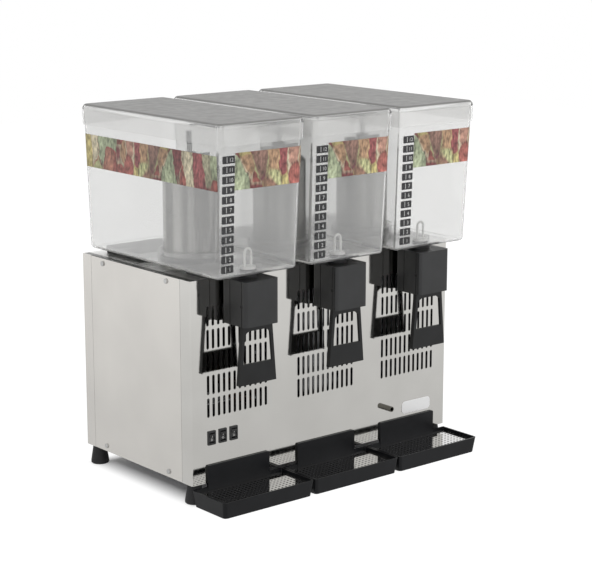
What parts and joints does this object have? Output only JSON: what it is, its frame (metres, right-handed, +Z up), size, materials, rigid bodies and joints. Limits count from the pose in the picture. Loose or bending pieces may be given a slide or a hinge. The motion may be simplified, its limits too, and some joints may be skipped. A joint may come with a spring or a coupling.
{
  "type": "juice dispenser",
  "caption": "Counter-top cold juice dispenser: clear lidded bowls with cooling columns, push-lever taps and drip trays on a stainless cabinet.",
  "frame": {"origin": "centre of the part's box on the worktop", "axes": "+X to the right seen from the front, +Y to the back, +Z up; the taps face -Y"},
  "size_m": [0.5644, 0.3982, 0.6213],
  "materials": {
    "polished_steel": "bright polished stainless sheet",
    "galvanised_sheet": "dull zinc coated steel",
    "zinc_screw": "zinc plated steel",
    "black_enamel": "gloss black paint",
    "aluminium_fin": "plain aluminium",
    "copper": "plain copper tube",
    "rubber": "matt black rubber",
    "black_plastic": "satin black moulding",
    "grey_plastic": "satin dark grey moulding",
    "white_plastic": "white food-safe moulding",
    "smoke_plastic": "grey smoked moulding",
    "clear_plastic": "clear polycarbonate"
  },
  "bodies": {
    "cabinet": {"base_pan": "galvanised_sheet", "front_panel": "polished_steel", "rear_panel": "polished_steel", "left_side_panel": "polished_steel", "right_side_panel": "polished_steel", "top_deck": "polished_steel", "panel_screws": "zinc_screw", "rubber_feet": "rubber", "foot_studs": "zinc_screw", "compressor": "black_enamel", "condenser": "aluminium_fin", "fan_motor": "galvanised_sheet", "refrigerant_pipes": "copper", "evaporator_coils": "copper", "control_box": "galvanised_sheet", "switch_frames": "black_plastic", "drain_stub": "polished_steel", "mains_inlet": "black_plastic", "stirrer_motors": "galvanised_sheet", "bowl_seals": "rubber", "evaporator_left": "polished_steel", "evaporator_middle": "polished_steel", "evaporator_right": "polished_steel"},
    "fan": {"fan_blade": "aluminium_fin"},
    "rocker_1": {"rocker_1": "black_plastic"},
    "rocker_2": {"rocker_2": "black_plastic"},
    "rocker_3": {"rocker_3": "black_plastic"},
    "bowl_left": {"bowl_left": "clear_plastic", "tap_body_left": "black_plastic", "valve_spring_left": "zinc_screw"},
    "lid_left": {"lid_left": "smoke_plastic"},
    "lever_left": {"lever_left": "black_plastic"},
    "plunger_left": {"plunger_left": "white_plastic", "plunger_seal_left": "rubber"},
    "drive_left": {"drive_magnet_left": "galvanised_sheet"},
    "stirrer_left": {"stirrer_left": "grey_plastic"},
    "tray_left": {"tray_left": "black_plastic"},
    "grid_left": {"grid_left": "polished_steel"},
    "bowl_middle": {"bowl_middle": "clear_plastic", "tap_body_middle": "black_plastic", "valve_spring_middle": "zinc_screw"},
    "lid_middle": {"lid_middle": "smoke_plastic"},
    "lever_middle": {"lever_middle": "black_plastic"},
    "plunger_middle": {"plunger_middle": "white_plastic", "plunger_seal_middle": "rubber"},
    "drive_middle": {"drive_magnet_middle": "galvanised_sheet"},
    "stirrer_middle": {"stirrer_middle": "grey_plastic"},
    "tray_middle": {"tray_middle": "black_plastic"},
    "grid_middle": {"grid_middle": "polished_steel"},
    "bowl_right": {"bowl_right": "clear_plastic", "tap_body_right": "black_plastic", "valve_spring_right": "zinc_screw"},
    "lid_right": {"lid_right": "smoke_plastic"},
    "lever_right": {"lever_right": "black_plastic"},
    "plunger_right": {"plunger_right": "white_plastic", "plunger_seal_right": "rubber"},
    "drive_right": {"drive_magnet_right": "galvanised_sheet"},
    "stirrer_right": {"stirrer_right": "grey_plastic"},
    "tray_right": {"tray_right": "black_plastic"},
    "grid_right": {"grid_right": "polished_steel"}
  },
  "joints": [
    {"name": "fan_spin", "type": "hinge", "parent": "cabinet", "child": "fan", "pos_m": [0.062, -0.04215, 0.214], "axis": [0, 1, 0], "continuous": true},
    {"name": "rocker_1_tilt", "type": "hinge", "parent": "cabinet", "child": "rocker_1", "pos_m": [-0.2405, -0.11015, 0.1075], "axis": [-1, 0, 0], "range_deg": [0, 16]},
    {"name": "rocker_2_tilt", "type": "hinge", "parent": "cabinet", "child": "rocker_2", "pos_m": [-0.2182, -0.11015, 0.1075], "axis": [-1, 0, 0], "range_deg": [0, 16]},
    {"name": "rocker_3_tilt", "type": "hinge", "parent": "cabinet", "child": "rocker_3", "pos_m": [-0.1959, -0.11015, 0.1075], "axis": [-1, 0, 0], "range_deg": [0, 16]},
    {"name": "drive_left_spin", "type": "hinge", "parent": "cabinet", "child": "drive_left", "pos_m": [-0.1875, 0.00585, 0.52], "axis": [0, 0, 1], "continuous": true},
    {"name": "stirrer_left_spin", "type": "hinge", "parent": "cabinet", "child": "stirrer_left", "pos_m": [-0.1875, 0.00585, 0.55], "axis": [0, 0, 1], "continuous": true},
    {"name": "bowl_left_lift", "type": "slide", "parent": "cabinet", "child": "bowl_left", "axis": [0, 0, 1], "range_m": [0, 0.25]},
    {"name": "lid_left_lift", "type": "slide", "parent": "bowl_left", "child": "lid_left", "axis": [0, 0, 1], "range_m": [0, 0.15]},
    {"name": "lever_left_push", "type": "hinge", "parent": "bowl_left", "child": "lever_left", "pos_m": [-0.1875, -0.17015, 0.33], "axis": [1, 0, 0], "range_deg": [0, 14], "stiffness_Nm_per_rad": 0.6, "springref_deg": -14.32, "deforming": ["valve_spring_left"]},
    {"name": "plunger_left_lift", "type": "slide", "parent": "bowl_left", "child": "plunger_left", "axis": [0, 0, 1], "range_m": [0, 0.0078]},
    {"name": "tray_left_pull", "type": "slide", "parent": "cabinet", "child": "tray_left", "axis": [0, -1, 0], "range_m": [0, 0.15]},
    {"name": "grid_left_lift", "type": "slide", "parent": "tray_left", "child": "grid_left", "axis": [0, 0, 1], "range_m": [0, 0.06]},
    {"name": "drive_middle_spin", "type": "hinge", "parent": "cabinet", "child": "drive_middle", "pos_m": [0, 0.00585, 0.52], "axis": [0, 0, 1], "continuous": true},
    {"name": "stirrer_middle_spin", "type": "hinge", "parent": "cabinet", "child": "stirrer_middle", "pos_m": [0, 0.00585, 0.55], "axis": [0, 0, 1], "continuous": true},
    {"name": "bowl_middle_lift", "type": "slide", "parent": "cabinet", "child": "bowl_middle", "axis": [0, 0, 1], "range_m": [0, 0.25]},
    {"name": "lid_middle_lift", "type": "slide", "parent": "bowl_middle", "child": "lid_middle", "axis": [0, 0, 1], "range_m": [0, 0.15]},
    {"name": "lever_middle_push", "type": "hinge", "parent": "bowl_middle", "child": "lever_middle", "pos_m": [0, -0.17015, 0.33], "axis": [1, 0, 0], "range_deg": [0, 14], "stiffness_Nm_per_rad": 0.6, "springref_deg": -14.32, "deforming": ["valve_spring_middle"]},
    {"name": "plunger_middle_lift", "type": "slide", "parent": "bowl_middle", "child": "plunger_middle", "axis": [0, 0, 1], "range_m": [0, 0.0078]},
    {"name": "tray_middle_pull", "type": "slide", "parent": "cabinet", "child": "tray_middle", "axis": [0, -1, 0], "range_m": [0, 0.15]},
    {"name": "grid_middle_lift", "type": "slide", "parent": "tray_middle", "child": "grid_middle", "axis": [0, 0, 1], "range_m": [0, 0.06]},
    {"name": "drive_right_spin", "type": "hinge", "parent": "cabinet", "child": "drive_right", "pos_m": [0.1875, 0.00585, 0.52], "axis": [0, 0, 1], "continuous": true},
    {"name": "stirrer_right_spin", "type": "hinge", "parent": "cabinet", "child": "stirrer_right", "pos_m": [0.1875, 0.00585, 0.55], "axis": [0, 0, 1], "continuous": true},
    {"name": "bowl_right_lift", "type": "slide", "parent": "cabinet", "child": "bowl_right", "axis": [0, 0, 1], "range_m": [0, 0.25]},
    {"name": "lid_right_lift", "type": "slide", "parent": "bowl_right", "child": "lid_right", "axis": [0, 0, 1], "range_m": [0, 0.15]},
    {"name": "lever_right_push", "type": "hinge", "parent": "bowl_right", "child": "lever_right", "pos_m": [0.1875, -0.17015, 0.33], "axis": [1, 0, 0], "range_deg": [0, 14], "stiffness_Nm_per_rad": 0.6, "springref_deg": -14.32, "deforming": ["valve_spring_right"]},
    {"name": "plunger_right_lift", "type": "slide", "parent": "bowl_right", "child": "plunger_right", "axis": [0, 0, 1], "range_m": [0, 0.0078]},
    {"name": "tray_right_pull", "type": "slide", "parent": "cabinet", "child": "tray_right", "axis": [0, -1, 0], "range_m": [0, 0.15]},
    {"name": "grid_right_lift", "type": "slide", "parent": "tray_right", "child": "grid_right", "axis": [0, 0, 1], "range_m": [0, 0.06]}
  ],
  "couplings": [
    {"joint": "stirrer_left_spin", "follows": "drive_left_spin", "ratio": 1},
    {"joint": "plunger_left_lift", "follows": "lever_left_push", "m_per_rad": 0.0318},
    {"joint": "stirrer_middle_spin", "follows": "drive_middle_spin", "ratio": 1},
    {"joint": "plunger_middle_lift", "follows": "lever_middle_push", "m_per_rad": 0.0318},
    {"joint": "stirrer_right_spin", "follows": "drive_right_spin", "ratio": 1},
    {"joint": "plunger_right_lift", "follows": "lever_right_push", "m_per_rad": 0.0318}
  ]
}
